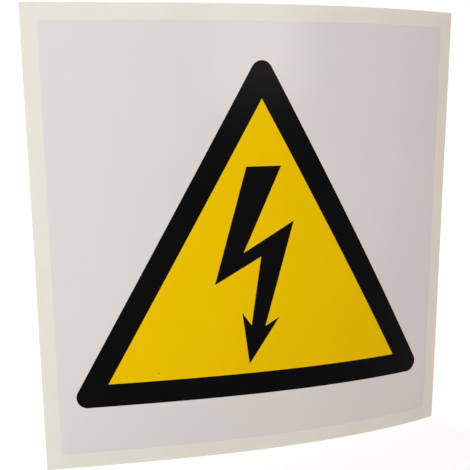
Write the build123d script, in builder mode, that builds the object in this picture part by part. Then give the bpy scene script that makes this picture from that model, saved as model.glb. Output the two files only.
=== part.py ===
"""A self-adhesive electrical hazard sign on its release liner, curled as it stands on its lower edge.

The sign is a square of white vinyl film, die-cut on a slightly larger square of cream release
liner, and printed with a black-edged yellow triangle round a black lightning arrow. All sizes
are in millimetres. Z is up, and the printed face looks along -Y. The origin is on the surface
that the lower edge stands on, in the middle of the sheet's width and of its depth.
"""

import os
from itertools import accumulate
from math import atan2, cos, degrees, sin, sqrt

from build123d import *

# Sheets
label_side = 200.0  # the printed vinyl square
liner_margin = 7.3  # liner left showing on each side of the label
liner_thickness = 0.15
film_thickness = 0.13  # vinyl with the adhesive coat on its back
ink_thickness = 0.08  # thicker than a real coat, so that it stays clear of the curved film

# Curl, flat along the left edge and evenly tighter towards the right one
tight_radius = 276.5  # at the right edge
arc_run = 7.2  # about the length of each of the tangent arcs that make up the curl

# Hazard triangle, equilateral
triangle_margin = 4.5  # from the label's sides to the lower corners before they are rounded
triangle_rise = 22.9  # from the label's lower edge to the triangle's
band_width = 11.2  # black edge
corner_radius = 5.4

# Outline of the lightning arrow, in hundredths of the yellow field's height, across and up from the
# middle of the field's lower edge
arrow_outline = [
    (-5.8, 76.6),  # top of the upper stroke
    (7.4, 76.6),
    (-6.9, 45.7),  # notch under the upper stroke's right side
    (12.5, 56.6),  # shoulder of the lower stroke
    (1.5, 17.7),  # lower stroke meets the head
    (7.1, 20.8),  # right barb
    (-4.7, 3.5),  # tip
    (-7.5, 23.4),  # left barb
    (-3.9, 18.4),
    (-0.2, 44.0),  # notch over the lower stroke's left side
    (-17.8, 34.5),  # heel of the upper stroke
]

liner_side = label_side + 2 * liner_margin
film_front = film_thickness
ink_front = film_thickness + ink_thickness
triangle_side = label_side - 2 * triangle_margin
field_height = triangle_side * sqrt(3) / 2 - 3 * band_width

# The curl seen from above, along the glue line between liner and film. The left edge is at 0, 0
# and heads along X, and each panel turns the heading a little further.
panels = round(liner_side / arc_run)
panel_width = liner_side / panels
radii = [tight_radius * panels / (panel + 0.5) for panel in range(panels)]
headings = list(accumulate([panel_width / radius for radius in radii], initial=0.0))


def backwards(heading):
    """Direction square to the sheet, from its face to its back."""
    return Vector(-sin(heading), cos(heading))


# The centres of neighbouring arcs lie on one line through the join, so the arcs meet smoothly
centres = [backwards(0) * radii[0]]
for panel in range(1, panels):
    centres.append(centres[-1] + backwards(headings[panel]) * (radii[panel] - radii[panel - 1]))
right_edge = centres[-1] - backwards(headings[-1]) * radii[-1]

# The sheet is turned until its two upright edges lie side by side, square to Y
slant = atan2(right_edge.Y, right_edge.X)
headings = [heading - slant for heading in headings]
centres = [centre.rotate(Axis.Z, -degrees(slant)) for centre in centres]

# Depth of the curl, from the foremost ink, where the heading is 0, to the liner's rear corners
nose = max(panel for panel in range(panels) if headings[panel] < 0)
foremost = centres[nose].Y - radii[nose] - ink_front
rearmost = cos(headings[0]) * liner_thickness
depth = rearmost - foremost
to_origin = Vector(-right_edge.length / 2, -(foremost + rearmost) / 2)
centres = [centre + to_origin for centre in centres]


def on_sheet(along, proud):
    """Plan of the point that lies along the glue line from its middle, and proud in front of it."""
    from_left = along + liner_side / 2
    panel = min(int(from_left / panel_width), panels - 1)
    heading = headings[panel] + (from_left - panel * panel_width) / radii[panel]
    return centres[panel] - backwards(heading) * (radii[panel] + proud)


def layer_section(back, front, side, foot):
    """Section of one layer of the sheet, from back to front of the glue line, at its foot."""
    joins = [panel * panel_width - liner_side / 2 for panel in range(1, panels)]
    stops = [-side / 2, *[join for join in joins if abs(join) < side / 2], side / 2]
    with BuildSketch(Plane.XY.offset(foot)) as section:
        with BuildLine():
            for proud in (back, front):
                for start, end in zip(stops, stops[1:]):
                    halfway = (start + end) / 2
                    ThreePointArc(*[on_sheet(along, proud) for along in (start, halfway, end)])
            for edge in (-side / 2, side / 2):
                Line(on_sheet(edge, back), on_sheet(edge, front))
        make_face()
    return section.sketch


def seen(along, up):
    """Front view of a printed point, given along and up the flat label from its lower middle."""
    return Vector(on_sheet(along, ink_front).X, liner_margin + up)


def triangle_print(inset):
    """The hazard triangle in the front view, with its three sides moved in by inset.

    Its sides are straight on the flat label, and the curl shows them as shallow arcs.
    """
    side = triangle_side - 2 * sqrt(3) * inset
    base = triangle_rise + inset
    top = base + side * sqrt(3) / 2
    with BuildSketch(Plane.XZ) as outline:
        with BuildLine():
            Line(seen(-side / 2, base), seen(side / 2, base))
            for end in (side / 2, -side / 2):
                ThreePointArc(seen(end, base), seen(end / 2, (base + top) / 2), seen(0, top))
        make_face()
    return outline.sketch


def arrow_print():
    """The lightning arrow in the front view."""
    share = field_height / 100
    field_rise = triangle_rise + band_width
    corners = [seen(across * share, field_rise + up * share) for across, up in arrow_outline]
    with BuildSketch(Plane.XZ) as outline:
        with BuildLine():
            Polyline(*corners, close=True)
        make_face()
    return outline.sketch


# Release liner: siliconised paper, the larger square that the sign stands on
with BuildPart() as release_liner:
    extrude(layer_section(-liner_thickness, 0, liner_side, 0), amount=liner_side)

# Vinyl film: the white label, face to face with the liner
with BuildPart() as vinyl_film:
    extrude(layer_section(0, film_front, label_side, liner_margin), amount=label_side)

# Black triangle: the ink of the edge, rounded at its three outer corners
with BuildPart() as black_triangle:
    extrude(layer_section(film_front, ink_front, label_side, liner_margin), amount=label_side)
    with BuildSketch(Plane.XZ) as band:
        add(triangle_print(0))
        fillet(band.vertices(), corner_radius)
        add(triangle_print(band_width), mode=Mode.SUBTRACT)
    extrude(band.sketch, amount=depth, both=True, mode=Mode.INTERSECT)

# Yellow field: the ink inside the edge, with the arrow left open
with BuildPart() as yellow_field:
    extrude(layer_section(film_front, ink_front, label_side, liner_margin), amount=label_side)
    with BuildSketch(Plane.XZ) as field:
        add(triangle_print(band_width))
        add(arrow_print(), mode=Mode.SUBTRACT)
    extrude(field.sketch, amount=depth, both=True, mode=Mode.INTERSECT)

# Lightning arrow: black ink that fills the opening in the yellow
with BuildPart() as lightning_arrow:
    extrude(layer_section(film_front, ink_front, label_side, liner_margin), amount=label_side)
    extrude(arrow_print(), amount=depth, both=True, mode=Mode.INTERSECT)

release_liner.part.label = "release_liner"
vinyl_film.part.label = "vinyl_film"
black_triangle.part.label = "black_triangle"
yellow_field.part.label = "yellow_field"
lightning_arrow.part.label = "lightning_arrow"

os.makedirs("parts", exist_ok=True)
export_step(release_liner.part, "parts/release_liner.step")
export_step(vinyl_film.part, "parts/vinyl_film.step")
export_step(black_triangle.part, "parts/black_triangle.step")
export_step(yellow_field.part, "parts/yellow_field.step")
export_step(lightning_arrow.part, "parts/lightning_arrow.step")

print(f"liner {liner_side:.1f} square, yellow field {field_height:.1f} high")
print(f"curl {depth:.2f} deep, turning {degrees(headings[-1] - headings[0]):.1f} degrees")
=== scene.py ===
# %% [markdown]
# # A high voltage warning sign on its release liner
#
# The object is one self-adhesive hazard label as it comes from the printer: a square of white vinyl
# film, printed with a black-edged yellow triangle and a black lightning arrow, still stuck to a
# slightly larger square of cream release liner. The sheet has kept some of the curl of its roll and
# stands on its lower edge, bulging towards the viewer.
#
# The construction model gives every sheet its true size and place. This lesson makes each sheet again
# as a fine mesh, because smooth light on a gently curled surface needs more and better placed faces
# than a solid's triangles have, and then gives it the finish of the real material.

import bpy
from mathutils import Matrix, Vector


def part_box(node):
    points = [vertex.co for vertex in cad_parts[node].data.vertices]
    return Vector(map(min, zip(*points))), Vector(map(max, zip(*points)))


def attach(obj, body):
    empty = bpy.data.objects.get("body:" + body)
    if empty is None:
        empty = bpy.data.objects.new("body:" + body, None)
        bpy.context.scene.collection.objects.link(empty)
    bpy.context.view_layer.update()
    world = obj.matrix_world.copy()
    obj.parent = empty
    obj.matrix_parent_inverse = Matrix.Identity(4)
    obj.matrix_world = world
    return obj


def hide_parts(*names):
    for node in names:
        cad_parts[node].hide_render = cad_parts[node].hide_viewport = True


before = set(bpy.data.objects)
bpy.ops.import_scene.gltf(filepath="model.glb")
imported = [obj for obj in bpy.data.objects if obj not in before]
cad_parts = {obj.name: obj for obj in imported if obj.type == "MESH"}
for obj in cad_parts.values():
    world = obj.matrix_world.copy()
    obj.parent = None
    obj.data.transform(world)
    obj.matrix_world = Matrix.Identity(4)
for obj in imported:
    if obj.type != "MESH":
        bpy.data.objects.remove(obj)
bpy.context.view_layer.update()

print("sheets and inks:", sorted(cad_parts))

# %% [markdown]
# ## Sizes
#
# Blender works in metres here. The sheets lie one on another from the glue line, which is the face of
# the liner: the liner is behind it, the film in front of it, and the ink in front of the film. The
# thicknesses are typed in, because a box round a curled sheet doesn't show them. The sides of the two
# squares and the heights of the print could be typed in too, but they are read from the construction
# model's boxes instead, so that they always agree with it.

# %% Sizes of the sheets and of the print
from math import atan2, cos, radians, sin, sqrt

import bmesh
import bpy
from mathutils import Color, Euler, Matrix, Vector

mm = 0.001


def height_of(node):
    """Lowest and highest point of a node, as two heights above the floor."""
    low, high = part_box(node)
    return low.z, high.z


liner_thickness = 0.15 * mm
film_thickness = 0.13 * mm
ink_thickness = 0.08 * mm

liner_foot, liner_top = height_of("release_liner")
film_foot, film_top = height_of("vinyl_film")
field_foot, field_top = height_of("yellow_field")
band_foot = height_of("black_triangle")[0]

liner_side = liner_top - liner_foot
film_side = film_top - film_foot
field_height = field_top - field_foot
band_width = field_foot - band_foot

print(f"liner {liner_side / mm:.1f} mm and film {film_side / mm:.1f} mm square")
print(f"yellow field {field_height / mm:.1f} mm high, black band {band_width / mm:.1f} mm wide")

# %% [markdown]
# ## The curl
#
# A label that was wound on a roll doesn't relax into a part of a circle. This one is flat along its
# left edge and bends evenly tighter towards the right. A curve whose bend grows evenly with the
# distance along it is a clothoid, and its heading grows with the square of that distance, so one short
# formula gives the heading anywhere. Adding up short steps along that heading gives the plan of the
# sheet. A Simple Deform modifier could bend the mesh, but only into a part of a circle, so the mesh is
# bent by this formula instead.

# %% Plan of the curl, in short steps along the glue line
tight_radius = 276.5 * mm
columns = 100
column_width = liner_side / columns


def turn(from_left):
    """Angle that the sheet has turned by, at a distance from its left edge."""
    return from_left**2 / (2 * tight_radius * liner_side)


def step_from(place, start, end):
    """The point that one short step along the sheet leads to."""
    heading = turn((start + end) / 2)
    return place + Vector((cos(heading), sin(heading))) * (end - start)


stations = [Vector((0, 0))]
for column in range(columns):
    stations.append(step_from(stations[-1], column * column_width, (column + 1) * column_width))

slant = atan2(stations[-1].y, stations[-1].x)
square_up = Matrix.Rotation(-slant, 2)
chord = stations[-1].length
ends_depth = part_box("release_liner")[1].y - liner_thickness * cos(slant)
print(f"the curl turns {turn(liner_side) / radians(1):.1f} degrees over a chord of {chord / mm:.1f} mm")

# %% [markdown]
# ## From a place on the flat sheet to its place in space
#
# Everything on the sign is measured on the flat sheet, as a printer would: so far along, so far up,
# and so far proud of the glue line. One function turns those three into a place in space. It starts
# from the last station before the place, takes one more short step, squares the plan up so that
# neither upright edge stands nearer to the viewer, and moves out at a right angle to the sheet.


# %% Carry a point onto the curl
def on_curl(along, up, proud):
    """Place of a point of the flat sheet: along from its middle, up, and proud of the glue line."""
    from_left = along + liner_side / 2
    column = min(max(int(from_left / column_width), 0), columns - 1)
    plan = square_up @ step_from(stations[column], column * column_width, from_left)
    heading = turn(from_left) - slant
    plan += Vector((sin(heading), -cos(heading))) * proud
    return Vector((plan.x - chord / 2, plan.y + ends_depth, up))


for name, along in (("left", -liner_side / 2), ("middle", 0), ("right", liner_side / 2)):
    place = on_curl(along, 0, 0)
    print(f"glue line, {name}: {place.x / mm:.1f} mm across, {place.y / mm:.1f} mm deep")

# %% [markdown]
# ## From a flat outline to a curled sheet
#
# Every layer of the sign is made the same way, and in the order in which a printer would think of it.
# The outline is drawn flat, a fill operator closes it, and upright cuts divide it into narrow columns
# so that it can bend. Level cuts keep the faces short, which keeps the light on them even. Cutting
# while the sheet is flat keeps all cuts straight, and the lengths of the print stay those of the flat
# label.


# %% Draw and divide a flat outline
def draw_loop(flat, corners):
    """Edges of a closed outline through corners given along and up the flat label."""
    spots = [flat.verts.new((along, 0, up)) for along, up in corners]
    return [flat.edges.new(pair) for pair in zip(spots, spots[1:] + spots[:1])]


rows = 24
coincident = 1e-7


def divide(flat):
    """Cuts the flat outline into columns and rows."""
    cuts = []
    for column in range(1, columns):
        cuts.append((Vector((column * column_width - liner_side / 2, 0, 0)), Vector((1, 0, 0))))
    for row in range(1, rows):
        cuts.append((Vector((0, 0, liner_foot + row * liner_side / rows)), Vector((0, 0, 1))))
    for place, direction in cuts:
        everything = flat.verts[:] + flat.edges[:] + flat.faces[:]
        bmesh.ops.bisect_plane(
            flat, geom=everything, dist=coincident, plane_co=place, plane_no=direction
        )


print(f"upright cuts every {column_width / mm:.2f} mm, level cuts every {liner_side / rows / mm:.2f} mm")

# %% [markdown]
# The flat face is then extruded to the layer's thickness. A Solidify modifier would do that too, but
# it measures along the bent surface's own normals, and neighbouring layers would drift into each
# other by a hair. Extruded flat and then rolled onto the curl, every layer begins exactly where the
# one under it ends. The extrusion lists the new rim faces in another order on each run. That doesn't
# show, but the faces are put in order of place, so that every run makes the same mesh.


# %% Thicken and bend
facing_viewer = Vector((0, -1, 0))


def thicken(flat, back, front):
    """Extrudes the flat outline towards the viewer. Back and front are measured from the glue line."""
    bmesh.ops.translate(flat, verts=flat.verts[:], vec=facing_viewer * back)
    grown = bmesh.ops.extrude_face_region(flat, geom=flat.verts[:] + flat.edges[:] + flat.faces[:])
    moving = [item for item in grown["geom"] if isinstance(item, bmesh.types.BMVert)]
    bmesh.ops.translate(flat, verts=moving, vec=facing_viewer * (front - back))
    bmesh.ops.recalc_face_normals(flat, faces=flat.faces[:])


def bend(flat):
    """Rolls the thickened outline onto the curl."""
    for vertex in flat.verts:
        vertex.co = on_curl(vertex.co.x, vertex.co.z, -vertex.co.y)
    flat.normal_update()


def put_in_order(flat):
    """Numbers the faces by the place of their middles and lists them by number."""
    in_order = sorted(flat.faces, key=lambda face: tuple(face.calc_center_median()))
    for number, face in enumerate(in_order):
        face.index = number
    flat.faces.sort()


# %% [markdown]
# The face of a sheet is shaded smooth, so that its columns melt into one curve. Its cut edges have to
# stay crisp, or they would smear the light on the face, so every edge that turns by more than 30
# degrees is marked sharp. Each finished layer rides on the sign's only body and takes the place of
# the construction model's solid. The solid is no longer shown, but the rest check still uses it.

# %% Finish a layer and hang it on the construction model
rim_angle = radians(30)


def make_sheet(flat, node, back, front):
    """Makes one layer of the sign from its flat outline, in place of the node."""
    divide(flat)
    thicken(flat, back, front)
    bend(flat)
    put_in_order(flat)
    for face in flat.faces:
        face.smooth = True
    for edge in flat.edges:
        edge.smooth = edge.calc_face_angle(0) < rim_angle
    volume = flat.calc_volume()
    mesh = bpy.data.meshes.new(node + "_sheet")
    flat.to_mesh(mesh)
    flat.free()
    sheet = bpy.data.objects.new(node + "_sheet", mesh)
    bpy.context.scene.collection.objects.link(sheet)
    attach(sheet, "root")
    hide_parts(node)
    low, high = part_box(node)
    sheet_low, sheet_high = Vector(sheet.bound_box[0]), Vector(sheet.bound_box[6])
    off = max((sheet_low - low).length, (sheet_high - high).length)
    print(f"{sheet.name}: {len(mesh.polygons)} faces and {volume / mm**3:.0f} mm3")
    print(f"its box lies within {off / mm:.3f} mm of the construction model's")
    return sheet


# %% [markdown]
# ## Release liner and vinyl film
#
# Both are plain squares with crisp, die-cut corners. The film is cut through to the liner by a steel
# rule and the waste round it is peeled off, which leaves the liner's border bare. A cube squashed flat
# would have the shape, but not the points between its corners that a bend needs. A grid of one face is
# the shortest way to a square outline. It lies flat when it is made, so it is turned upright and lifted
# to its place.


# %% Make the two squares
stand_up = Matrix.Rotation(radians(90), 4, "X")


def square_outline(side, foot):
    """An upright flat square, facing the viewer, with its lower edge at foot."""
    flat = bmesh.new()
    place = Matrix.Translation((0, 0, foot + side / 2)) @ stand_up
    bmesh.ops.create_grid(flat, x_segments=1, y_segments=1, size=side / 2, matrix=place)
    return flat


liner = make_sheet(square_outline(liner_side, liner_foot), "release_liner", -liner_thickness, 0)
film = make_sheet(square_outline(film_side, film_foot), "vinyl_film", 0, film_thickness)

# %% [markdown]
# ## The black edge of the triangle
#
# The triangle with the lightning arrow is the public sign for electrical hazard. Its black edge is
# rounded at the three outer corners and pointed at the inner ones. Three arcs and three lines could be
# worked out by hand, or a pointed triangle could be bevelled. Here the rounded outline starts as one
# small circle. Each third of it is moved out to its own corner, and the three edges that join the
# thirds stretch into the long sides. So the corners stay true arcs and the sides meet them without a
# kink.

# %% Outlines of the black edge
corner_radius = 5.4 * mm
corner_steps = 33
corner_angles = [radians(angle) for angle in (90, 210, 330)]
half_third = radians(60)
field_side = field_height * 2 / sqrt(3)
field_inradius = field_height / 3
centre = Vector((0, 0, field_foot + field_inradius))


def draw_field(flat):
    """Edges of the pointed triangle inside the black edge."""
    corners = [(-field_side / 2, field_foot), (field_side / 2, field_foot), (0, field_top)]
    return draw_loop(flat, corners)


def draw_rounded_triangle(flat):
    """Edges of the outer outline, a circle pulled apart towards three corners."""
    place = Matrix.Translation(centre) @ stand_up
    ring = bmesh.ops.create_circle(flat, segments=3 * corner_steps, radius=corner_radius, matrix=place)
    reach = 2 * (field_inradius + band_width - corner_radius)
    left_over = ring["verts"]
    for angle in corner_angles:
        outwards = Vector((cos(angle), 0, sin(angle)))
        third = [spot for spot in left_over if (spot.co - centre).angle(outwards) < half_third]
        left_over = [spot for spot in left_over if spot not in third]
        bmesh.ops.translate(flat, verts=third, vec=outwards * reach)
    return flat.edges[:]


print(f"the yellow triangle's sides are {field_side / mm:.1f} mm long")

# %% Make the black edge
ink_back = film_thickness
ink_front = film_thickness + ink_thickness


def fill(flat, edges):
    """Closes the area between the outlines."""
    bmesh.ops.triangle_fill(flat, use_beauty=True, edges=edges, normal=facing_viewer)
    return flat


band = bmesh.new()
outlines = draw_rounded_triangle(band) + draw_field(band)
black_edge = make_sheet(fill(band, outlines), "black_triangle", ink_back, ink_front)

# %% [markdown]
# ## The yellow field and the lightning arrow
#
# A printer doesn't lay black over yellow where that can be avoided: the yellow is left open under the
# arrow, and the black fills that opening edge to edge. The arrow's outline is written once, in
# hundredths of the yellow field's height, from the middle of the field's lower edge, because that is
# how such a sign is scaled from one size to the next. The field is filled round it, and the arrow is
# filled inside it.

# %% Make the yellow field and the arrow
arrow_outline = [
    (-5.8, 76.6),
    (7.4, 76.6),
    (-6.9, 45.7),
    (12.5, 56.6),
    (1.5, 17.7),
    (7.1, 20.8),
    (-4.7, 3.5),
    (-7.5, 23.4),
    (-3.9, 18.4),
    (-0.2, 44.0),
    (-17.8, 34.5),
]
hundredth = field_height / 100
arrow_corners = [(across * hundredth, field_foot + up * hundredth) for across, up in arrow_outline]

field = bmesh.new()
outlines = draw_field(field) + draw_loop(field, arrow_corners)
yellow = make_sheet(fill(field, outlines), "yellow_field", ink_back, ink_front)

bolt = bmesh.new()
arrow = make_sheet(fill(bolt, draw_loop(bolt, arrow_corners)), "lightning_arrow", ink_back, ink_front)

# %% [markdown]
# ## How the finishes are built
#
# No surface on the sign is one flat colour. Vinyl is faintly cloudy, ink is not laid down perfectly
# evenly, and paper has fibres. An image could carry all that, but a procedural finish has no
# resolution and needs no unwrapping. Each finish starts from noise on Object coordinates, which are
# metres here. A noise texture's scale counts features to the metre, so the helper takes the size of
# one feature instead, which can be compared with the real thing. The noise then chooses between two
# close colours, moves the roughness a little, or lifts the surface by some micrometres.
#
# Colours are written in the usual steps from 0 to 255 and turned into the linear values that Blender
# works with.


# %% Start a finish
def linear(red, green, blue):
    """Linear colour of a colour given in steps from 0 to 255."""
    colour = Color((red / 255, green / 255, blue / 255))
    return (*colour.from_srgb_to_scene_linear(), 1)


def new_finish(name):
    """A material with its node tree, its surface shader and the place on the piece."""
    material = bpy.data.materials.new(name)
    material.use_nodes = True
    tree = material.node_tree
    place = tree.nodes.new("ShaderNodeTexCoord").outputs["Object"]
    print("finish:", material.name)
    return material, tree, tree.nodes["Principled BSDF"], place


def noise(tree, place, size, detail=3.0, roughness=0.5):
    """Grey noise on the piece, with features of about the given size in metres."""
    texture = tree.nodes.new("ShaderNodeTexNoise")
    texture.inputs["Scale"].default_value = 1 / size
    texture.inputs["Detail"].default_value = detail
    texture.inputs["Roughness"].default_value = roughness
    tree.links.new(place, texture.inputs["Vector"])
    return texture.outputs["Fac"]


# %% [markdown]
# Noise keeps mostly to the middle of its range, between about 0.3 and 0.7, so that stretch is what the
# next two helpers map onto the wanted colours or values. Relief is laid with a Bump node, which gives
# the light a tilted surface and leaves the mesh as it is. That is right for relief of a few hundredths
# of a millimetre or less, which no outline would show. A second Bump node over the first adds finer
# relief to coarser relief. The last helper leads what they made to the surface shader.

# %% Use a noise for a value, a colour or relief
noise_low = 0.3
noise_high = 0.7


def between(tree, value, low, high, start=noise_low, end=noise_high):
    """A value that goes from low to high as the given one, often a noise, goes from start to end."""
    ranger = tree.nodes.new("ShaderNodeMapRange")
    ranger.inputs["From Min"].default_value = start
    ranger.inputs["From Max"].default_value = end
    ranger.inputs["To Min"].default_value = low
    ranger.inputs["To Max"].default_value = high
    tree.links.new(value, ranger.inputs["Value"])
    return ranger.outputs["Result"]


def tint(tree, grey, dark, light):
    """A colour that wanders from dark to light with the noise."""
    ramp = tree.nodes.new("ShaderNodeValToRGB")
    ramp.color_ramp.elements[0].position = noise_low
    ramp.color_ramp.elements[0].color = dark
    ramp.color_ramp.elements[1].position = noise_high
    ramp.color_ramp.elements[1].color = light
    tree.links.new(grey, ramp.inputs["Fac"])
    return ramp.outputs["Color"]


def relief(tree, grey, height, under=None):
    """Relief of the given height in metres, alone or over another relief."""
    bump = tree.nodes.new("ShaderNodeBump")
    bump.inputs["Distance"].default_value = height
    tree.links.new(grey, bump.inputs["Height"])
    if under:
        tree.links.new(under, bump.inputs["Normal"])
    return bump.outputs["Normal"]


def lead_to_surface(tree, shader, colour, roughness, grain):
    """Joins a colour, a roughness and a relief to the surface shader."""
    tree.links.new(colour, shader.inputs["Base Color"])
    tree.links.new(roughness, shader.inputs["Roughness"])
    tree.links.new(grain, shader.inputs["Normal"])


# %% [markdown]
# ## White vinyl film
#
# The film is a calendered white vinyl with a satin face. It isn't quite white: it leans to a warm
# grey, a little pinker in some places than in others, in clouds some five centimetres wide. Under
# raking light a thin film on paper also shows that it isn't quite flat, so it gets a slow waviness of
# a few hundredths of a millimetre under its fine grain. The satin comes from the roughness: low enough
# to show a soft image of a bright window, too high to show its outline. A flat colour with one
# roughness would be quicker, but it would look like painted metal wherever a lamp is mirrored.


# %% Vinyl finish
def vinyl_finish():
    """Satin white vinyl, faintly cloudy and not quite flat."""
    material, tree, shader, place = new_finish("white_vinyl")
    clouds = noise(tree, place, size=50 * mm, detail=2)
    colour = tint(tree, clouds, dark=linear(225, 218, 215), light=linear(229, 220, 216))
    satin = between(tree, noise(tree, place, size=17 * mm), low=0.18, high=0.22)
    waves = relief(tree, noise(tree, place, size=70 * mm, detail=1), height=0.03 * mm)
    grain = relief(tree, noise(tree, place, size=1.1 * mm), height=0.003 * mm, under=waves)
    lead_to_surface(tree, shader, colour, satin, grain)
    shader.inputs["Specular IOR Level"].default_value = 0.25
    return material


film.data.materials.append(vinyl_finish())

# %% [markdown]
# ## Screen-printed inks
#
# The inks are solid colours, pushed through a mesh onto the film. They dry about as smooth as the
# vinyl round them, but give a weaker reflection. Black ink shows every reflection that a pale surface
# hides, so its specular level decides how black it looks. The two inks could have a function each, but
# they differ only in their colours and in that level, so one function makes both.


# %% Ink finishes
def ink_finish(name, dark, light, specular):
    """A screen-printed ink that wanders between two close colours."""
    material, tree, shader, place = new_finish(name)
    colour = tint(tree, noise(tree, place, size=33 * mm), dark, light)
    sheen = between(tree, noise(tree, place, size=11 * mm), low=0.18, high=0.23)
    grain = relief(tree, noise(tree, place, size=0.6 * mm), height=0.003 * mm)
    lead_to_surface(tree, shader, colour, sheen, grain)
    shader.inputs["Specular IOR Level"].default_value = specular
    return material


black_ink = ink_finish("black_ink", linear(1, 1, 1), linear(3, 3, 3), specular=0.045)
black_edge.data.materials.append(black_ink)
arrow.data.materials.append(black_ink)

yellow_ink = ink_finish("yellow_ink", linear(245, 197, 0), linear(248, 200, 0), specular=0.02)
yellow.data.materials.append(yellow_ink)

# %% [markdown]
# ## A speck in the yellow
#
# The print has one flaw: a dark speck about half a millimetre wide in the yellow, just above its lower
# edge on the left. It could be a tiny piece of its own, but it is in the ink and not on it. So the
# yellow finish measures how far each point is from the speck's middle and turns darker inside its
# radius, with a soft edge. The middle is given on the flat sheet and carried onto the curl like
# everything else.


# %% Measure from a point
def distance_from(tree, middle):
    """How far each point of a piece is from one point, in metres."""
    place = tree.nodes.new("ShaderNodeTexCoord").outputs["Object"]
    distance = tree.nodes.new("ShaderNodeVectorMath")
    distance.operation = "DISTANCE"
    tree.links.new(place, distance.inputs[0])
    distance.inputs[1].default_value = middle
    return distance.outputs["Value"]


# %% Mix the speck into the yellow
speck_along = -51.75 * mm
speck_up = 45.1 * mm
speck_radius = 0.3 * mm
speck_softness = 0.3
speck_middle = on_curl(speck_along, speck_up, ink_front)


def add_speck(material, middle, radius, colour):
    """Darkens a finish round one point."""
    tree = material.node_tree
    shader = tree.nodes["Principled BSDF"]
    clean = shader.inputs["Base Color"].links[0].from_socket
    inside = tree.nodes.new("ShaderNodeMapRange")
    inside.interpolation_type = "SMOOTHSTEP"
    inside.inputs["From Min"].default_value = radius * (1 + speck_softness)
    inside.inputs["From Max"].default_value = radius * (1 - speck_softness)
    tree.links.new(distance_from(tree, middle), inside.inputs["Value"])
    blend = tree.nodes.new("ShaderNodeMix")
    blend.data_type = "RGBA"
    tree.links.new(inside.outputs["Result"], blend.inputs["Factor"])
    tree.links.new(clean, blend.inputs["A"])
    blend.inputs["B"].default_value = colour
    tree.links.new(blend.outputs["Result"], shader.inputs["Base Color"])


add_speck(yellow_ink, speck_middle, speck_radius, linear(120, 85, 10))
print("speck at", [round(part / mm, 1) for part in speck_middle], "mm")

# %% [markdown]
# ## Release liner
#
# The liner is cream paper with a thin silicone coat on its face, which is what lets the label peel
# off. The coat closes the paper, so the face is nearly as smooth as the film, with only a faint
# mottling of the paper under it. The back has no coat: it is duller, its fibres show, and its colour
# varies more. The two could be separate sheets, but the real liner is one. One piece can hold both
# finishes, because each of its faces names one: those that look to the viewer take the coated face,
# and the back and the cut edges take the bare paper.


# %% Liner finishes
def liner_face_finish():
    """Cream paper under a smooth silicone coat."""
    material, tree, shader, place = new_finish("siliconised_liner")
    mottling = noise(tree, place, size=22 * mm, detail=6)
    colour = tint(tree, mottling, dark=linear(234, 227, 214), light=linear(238, 231, 219))
    coat = between(tree, noise(tree, place, size=5 * mm), low=0.2, high=0.26)
    grain = relief(tree, noise(tree, place, size=1.4 * mm), height=0.005 * mm)
    lead_to_surface(tree, shader, colour, coat, grain)
    shader.inputs["Specular IOR Level"].default_value = 0.2
    return material


def liner_back_finish():
    """Bare paper, dull and felted."""
    material, tree, shader, place = new_finish("bare_liner_paper")
    fibres = noise(tree, place, size=7 * mm, detail=8, roughness=0.7)
    colour = tint(tree, fibres, dark=linear(227, 220, 204), light=linear(235, 229, 214))
    dullness = between(tree, noise(tree, place, size=3.3 * mm), low=0.7, high=0.85)
    tufts = noise(tree, place, size=1.1 * mm, detail=6, roughness=0.7)
    felt = relief(tree, tufts, height=0.02 * mm)
    lead_to_surface(tree, shader, colour, dullness, felt)
    return material


coated = 0
bare = 1
widest_turn = radians(60)
liner.data.materials.append(liner_face_finish())
liner.data.materials.append(liner_back_finish())
for face in liner.data.polygons:
    faces_viewer = face.normal.dot(facing_viewer) > cos(widest_turn)
    face.material_index = coated if faces_viewer else bare
coated_faces = [face for face in liner.data.polygons if face.material_index == coated]
print(f"{len(coated_faces)} of the liner's {len(liner.data.polygons)} faces are coated")

# %% [markdown]
# ## A white that the camera sees and the lamps don't
#
# The sign stands on white, and a floor lit until it turns white would bleach the sign too. The way out
# is to ask each ray what it is. A Light Path node says whether a ray comes straight from the camera,
# was mirrored or went through something clear. For those, floor and world may be as white as they
# like. All other rays only carry light from surface to surface, and get a plain level.


# %% Tell looking rays from lighting rays
def combine(tree, operation, first, second):
    """One value made from two by a Math node."""
    maths = tree.nodes.new("ShaderNodeMath")
    maths.operation = operation
    tree.links.new(first, maths.inputs[0])
    tree.links.new(second, maths.inputs[1])
    return maths.outputs["Value"]


def looking(tree):
    """1 for rays from the camera and for mirrored or passed rays, 0 for those that only carry light."""
    path = tree.nodes.new("ShaderNodeLightPath")
    answer = path.outputs["Is Camera Ray"]
    for kind in ("Is Glossy Ray", "Is Transmission Ray"):
        answer = combine(tree, "MAXIMUM", answer, path.outputs[kind])
    return answer


# %% [markdown]
# ## Floor
#
# The floor is one large disc. It could be left out, but then the sign would hang in white with no
# shadow. It reflects light as white paper does, which keeps the shadow, and for looking rays it glows
# besides, which lifts it to the white of the world behind it. The glow is weakest round the sign,
# where the shadow lies, and grows with distance, so that no horizon shows.

# %% Strength of the floor's glow
near = 0.25
far = 1.5
glow_near = 0.48
glow_far = 0.75


def floor_glow(tree):
    """Strength that grows with distance from the sign for looking rays, and is 0 for all others."""
    distance = distance_from(tree, (0, 0, 0))
    growth = between(tree, distance, glow_near, glow_far, start=near, end=far)
    return combine(tree, "MULTIPLY", looking(tree), growth)


# %% Floor finish
floor_grey = (0.8, 0.8, 0.8, 1)


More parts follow.
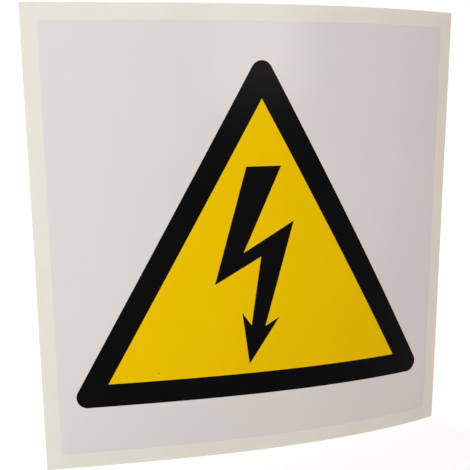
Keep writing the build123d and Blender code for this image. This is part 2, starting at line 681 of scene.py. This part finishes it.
def floor_finish():
    """Matt white paper that glows besides."""
    material = bpy.data.materials.new("white_floor")
    material.use_nodes = True
    tree = material.node_tree
    tree.nodes.remove(tree.nodes["Principled BSDF"])
    paper = tree.nodes.new("ShaderNodeBsdfDiffuse")
    paper.inputs["Color"].default_value = floor_grey
    glow = tree.nodes.new("ShaderNodeEmission")
    tree.links.new(floor_glow(tree), glow.inputs["Strength"])
    both = tree.nodes.new("ShaderNodeAddShader")
    tree.links.new(paper.outputs["BSDF"], both.inputs[0])
    tree.links.new(glow.outputs["Emission"], both.inputs[1])
    tree.links.new(both.outputs["Shader"], tree.nodes["Material Output"].inputs["Surface"])
    return material


# %% Make the floor
floor_radius = 12

ground = bmesh.new()
bmesh.ops.create_circle(ground, cap_ends=True, segments=64, radius=floor_radius)
floor_mesh = bpy.data.meshes.new("floor")
ground.to_mesh(floor_mesh)
ground.free()
floor_mesh.materials.append(floor_finish())
floor = bpy.data.objects.new("floor", floor_mesh)
bpy.context.scene.collection.objects.link(floor)
print(f"floor: a disc of {2 * floor_radius} m")

# %% [markdown]
# ## World
#
# The world stands for a room with pale walls: an even, slightly warm light from all sides that opens
# the shadows. Looking rays see plain white instead, so the background is white and the film mirrors a
# white room. A backdrop could do the same for one view, but the sign is looked at from all sides.

# %% Set the world
room_light = (0.487, 0.437, 0.443, 1)
plain_white = (1, 1, 1, 1)

world = bpy.data.worlds.new("studio")
bpy.context.scene.world = world
world.use_nodes = True
tree = world.node_tree
shade = tree.nodes.new("ShaderNodeMix")
shade.data_type = "RGBA"
tree.links.new(looking(tree), shade.inputs["Factor"])
shade.inputs["A"].default_value = room_light
shade.inputs["B"].default_value = plain_white
tree.links.new(shade.outputs["Result"], tree.nodes["Background"].inputs["Color"])
print("world: lighting rays get", room_light[:3], "and looking rays get", plain_white[:3])

# %% [markdown]
# ## Lamps
#
# Three area lamps shape the light. A large softbox on the left makes the sign grow darker from left to
# right as it curls away. A smaller lamp in front and a little above stands where a window would: the
# curl mirrors it as the pale streak in the middle of the upper edge, and as the sheen on the black tip
# of the triangle. A third lamp stands behind, because the sheet lets no light through and its back
# would be left in the dark. Each is placed by its direction from the middle of the sign, since that,
# and not its coordinates, is what decides where its light falls.


# %% Make the lamps
sign_middle = Vector((0, 0, liner_side / 2))


def softbox(name, azimuth, elevation, distance, width, height, power, colour):
    """An area lamp that looks at the sign's middle. Angles are in degrees and lengths in metres."""
    lamp = bpy.data.lights.new(name, "AREA")
    lamp.shape = "RECTANGLE"
    lamp.size = width
    lamp.size_y = height
    lamp.energy = power
    lamp.color = colour
    lamp_object = bpy.data.objects.new(name, lamp)
    bpy.context.scene.collection.objects.link(lamp_object)
    aim = Euler((radians(90 - elevation), 0, radians(azimuth)))
    lamp_object.rotation_euler = aim
    lamp_object.location = sign_middle + aim.to_matrix() @ Vector((0, 0, distance))
    print(f"{name}: {power} W at", [round(part, 2) for part in lamp_object.location], "m")


softbox(
    "left_softbox",
    azimuth=-50,
    elevation=20,
    distance=0.8,
    width=0.5,
    height=0.5,
    power=3.0,
    colour=(0.8, 0.99, 1.0),
)
softbox(
    "front_window",
    azimuth=18,
    elevation=13,
    distance=1.0,
    width=0.3,
    height=0.2,
    power=0.88,
    colour=(1.0, 0.92, 0.86),
)
softbox(
    "rear_softbox",
    azimuth=205,
    elevation=35,
    distance=1.1,
    width=0.6,
    height=0.6,
    power=4.2,
    colour=(0.9, 0.97, 1.0),
)

# %% [markdown]
# ## Camera
#
# The viewer stands close, a third of a metre away, to the left of the sign's middle and above it, so
# the left edge looks taller than the right one. A closer camera with a wider lens would make that
# difference larger, and one further off with a longer lens would take it away. The picture's middle
# isn't the lens's, as in a picture cropped from a wider one. The camera's shift does the same, where
# turning the camera would tilt the upright edges.

# %% Place the camera
viewpoint = Vector((-126.8, -314.4, 155.8)) * mm
viewing_angles = [radians(angle) for angle in (79.08, 1.35, -15.14)]

camera = bpy.data.cameras.new("camera")
camera.sensor_width = 36
camera.lens = 53.54
camera.shift_x = 0.134
camera.shift_y = 0.083
viewer = bpy.data.objects.new("camera", camera)
viewer.location = viewpoint
viewer.rotation_euler = viewing_angles
bpy.context.scene.collection.objects.link(viewer)
bpy.context.scene.camera = viewer
bpy.context.scene.view_settings.view_transform = "Standard"
print(f"camera: {(viewer.location - sign_middle).length / mm:.0f} mm from the sign's middle")
